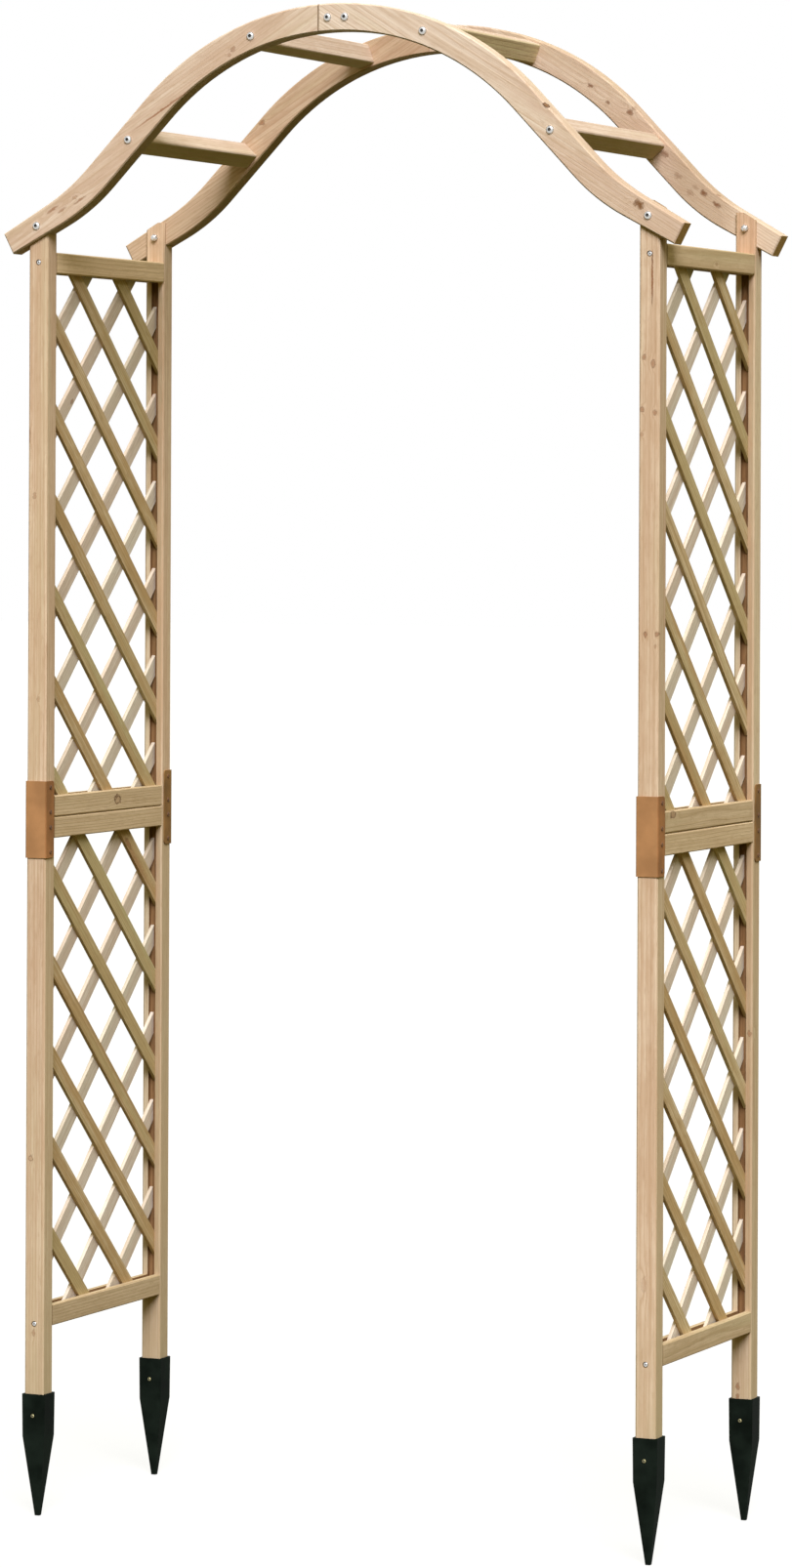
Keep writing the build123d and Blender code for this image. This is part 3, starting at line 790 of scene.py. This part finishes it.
# rings joined into one closed shape that faces outward from its place
def turnedShape(bm, place, outward, rings, darkFrom):
    across = outward.orthogonal().normalized()
    beside = outward.cross(across)
    sides, perMetre = fastenerSet["sides"], fastenerSet["perMetre"]
    angles = [2 * math.pi * (step + 0.5) / sides for step in range(sides)]
    loops = []
    for radius, rise, *form in rings:
        centre = place + outward * rise / perMetre
        reaches = [ringReach(form, angle) * radius / perMetre for angle in angles]
        ways = [across * math.cos(angle) + beside * math.sin(angle) for angle in angles]
        loops.append([bm.verts.new(centre + way * reach) for way, reach in zip(ways, reaches)])
    for number, (lower, upper) in enumerate(zip(loops, loops[1:])):
        for step in range(sides):
            after = (step + 1) % sides
            face = bm.faces.new((lower[step], lower[after], upper[after], upper[step]))
            face.material_index = 1 if number >= darkFrom else 0
    bm.faces.new(list(reversed(loops[0])))
    bm.faces.new(loops[-1]).material_index = 1 if darkFrom < len(loops) else 0


# the middle of a head's underside, and the way outward, for a fastener that lies along an axis
def headPlace(box, axis, sign, height):
    place = (box[0] + box[1]) / 2
    place[axis] = box[1][axis] - height if sign > 0 else box[0][axis] + height
    outward = Vector((0, 0, 0))
    outward[axis] = sign
    return place, outward


def turnedFasteners(node, shape, finishes, axis, signOf):
    look = fastenerSet[shape]
    bm = bmesh.new()
    for box in singleBoxes(node):
        sign = signOf((box[0] + box[1]) / 2)
        turnedShape(bm, *headPlace(box, axis, sign, look["height"]), look["rings"], look["darkFrom"])
    bmesh.ops.recalc_face_normals(bm, faces=bm.faces)
    addPiece(bm, node + "_turned", node, finishes, fastenerSet["crease"])


def awayFromMiddle(spot):
    return -1 if spot.y < 0 else 1


def towardMiddle(spot):
    return -awayFromMiddle(spot)


def toFront(spot):
    return -1


def awayFromPost(spot):
    post = centreOf("post_lower_front_right" if spot.x > 0 else "post_lower_front_left")
    return 1 if spot.x > post.x else -1


alongX, alongY = 0, 1
for node in ("post_bolts", "lap_bolts", "crossbar_bolts"):
    turnedFasteners(node, "bolt", [zinc, recess], alongY, awayFromMiddle)
for node in ("post_nuts", "lap_nuts"):
    turnedFasteners(node, "nut", [zinc], alongY, towardMiddle)
turnedFasteners("rail_screws", "railScrew", [zinc, recess], alongY, awayFromMiddle)
turnedFasteners("bracket_screws", "smallScrew", [browned] * 2, alongX, awayFromPost)
turnedFasteners("spike_screws", "spikeScrew", [brass, recess], alongY, toFront)
print("fasteners turned")


# floor and light
stageSet = {
    "floorHalf": 60.0, "floorUnder": 0.0004,
    "floorWhite": (0.9, 0.9, 0.9), "floorBounce": (0.075, 0.064, 0.014), "floorGlow": 0.80,
    "skyTop": (0.87, 0.87, 0.62), "skyEdge": (0.16, 0.13, 0.02), "edgeTo": 0.1, "topFrom": 0.9,
    "key": {"strength": 3.55, "colour": (1.0, 0.99, 1.08), "from": (0.345, -0.67, 0.657), "soft": 32.0},
    "fill": {"strength": 1.0, "colour": (1.0, 0.99, 0.95), "from": (-0.6, 0.7, 0.35), "soft": 60.0},
}


def seenDirectly(tree):
    ray = addNode(tree, "LightPath").outputs
    seen = sums(tree, "MAXIMUM", ray["Is Camera Ray"], ray["Is Glossy Ray"])
    return sums(tree, "MAXIMUM", seen, ray["Is Transmission Ray"])


def makeFloor():
    half, level = stageSet["floorHalf"], cadLow.z - stageSet["floorUnder"]
    mesh = bpy.data.meshes.new("floor")
    outline = [(-half, -half, level), (half, -half, level), (half, half, level), (-half, half, level)]
    mesh.from_pydata(outline, [], [(0, 1, 2, 3)])
    floor = bpy.data.objects.new("floor", mesh)
    scene.collection.objects.link(floor)
    paint = bpy.data.materials.new("floor_white")
    paint.use_nodes = True
    tree = paint.node_tree
    tree.nodes.clear()
    bounce = addNode(tree, "BsdfDiffuse", {"Color": rgba(stageSet["floorBounce"])})
    white = addNode(tree, "BsdfDiffuse", {"Color": rgba(stageSet["floorWhite"])})
    glow = addNode(tree, "Emission", {"Color": (1, 1, 1, 1), "Strength": 1.0})
    pale = addNode(tree, "MixShader", {0: stageSet["floorGlow"], 1: white.outputs[0], 2: glow.outputs[0]})
    both = addNode(tree, "MixShader", {0: seenDirectly(tree), 1: bounce.outputs[0], 2: pale.outputs[0]})
    addNode(tree, "OutputMaterial", {"Surface": both.outputs[0]})
    mesh.materials.append(paint)


def makeSky():
    world = bpy.data.worlds.new("studio")
    scene.world = world
    world.use_nodes = True
    tree = world.node_tree
    tree.nodes.clear()
    rise = axisOf(tree, addNode(tree, "TexCoord").outputs["Generated"], "Z")
    height = ranged(tree, rise, stageSet["edgeTo"], stageSet["topFrom"])
    dome = mixed(tree, height, rgba(stageSet["skyEdge"]), rgba(stageSet["skyTop"]))
    sky = addNode(tree, "Background", {"Color": dome, "Strength": 1.0})
    white = addNode(tree, "Background", {"Color": (1, 1, 1, 1), "Strength": 1.0})
    both = addNode(tree, "MixShader", {0: seenDirectly(tree), 1: sky.outputs[0], 2: white.outputs[0]})
    addNode(tree, "OutputWorld", {"Surface": both.outputs[0]})


def makeLamp(name):
    look = stageSet[name]
    lamp = bpy.data.lights.new(name, "SUN")
    lamp.energy = look["strength"]
    lamp.color = look["colour"]
    lamp.angle = math.radians(look["soft"])
    holder = bpy.data.objects.new(name, lamp)
    holder.rotation_mode = "QUATERNION"
    holder.rotation_quaternion = Vector(look["from"]).to_track_quat("Z", "Y")
    scene.collection.objects.link(holder)


makeFloor()
makeSky()
makeLamp("key")
makeLamp("fill")
scene.view_settings.view_transform = "Standard"
print("floor and light ready")

cameraSet = {
    "place": (3.507, -8.138, 1.553), "swing": 23.3, "pitch": 0.18, "roll": 0.23,
    "lens": 132.5, "sensor": 36.0, "rise": -0.18915, "farthest": 200.0,
}


def makeCamera():
    swing, pitch = math.radians(cameraSet["swing"]), math.radians(cameraSet["pitch"])
    ahead = Vector((-math.sin(swing) * math.cos(pitch), math.cos(swing) * math.cos(pitch), math.sin(pitch)))
    lens = bpy.data.cameras.new("camera")
    lens.lens = cameraSet["lens"]
    lens.sensor_width = cameraSet["sensor"]
    lens.shift_y = cameraSet["rise"]
    lens.clip_end = cameraSet["farthest"]
    camera = bpy.data.objects.new("camera", lens)
    camera.location = cameraSet["place"]
    look = ahead.to_track_quat("-Z", "Y").to_matrix()
    camera.rotation_euler = (look @ Euler((0, 0, math.radians(cameraSet["roll"]))).to_matrix()).to_euler()
    scene.collection.objects.link(camera)
    scene.camera = camera


makeCamera()
print("camera placed")
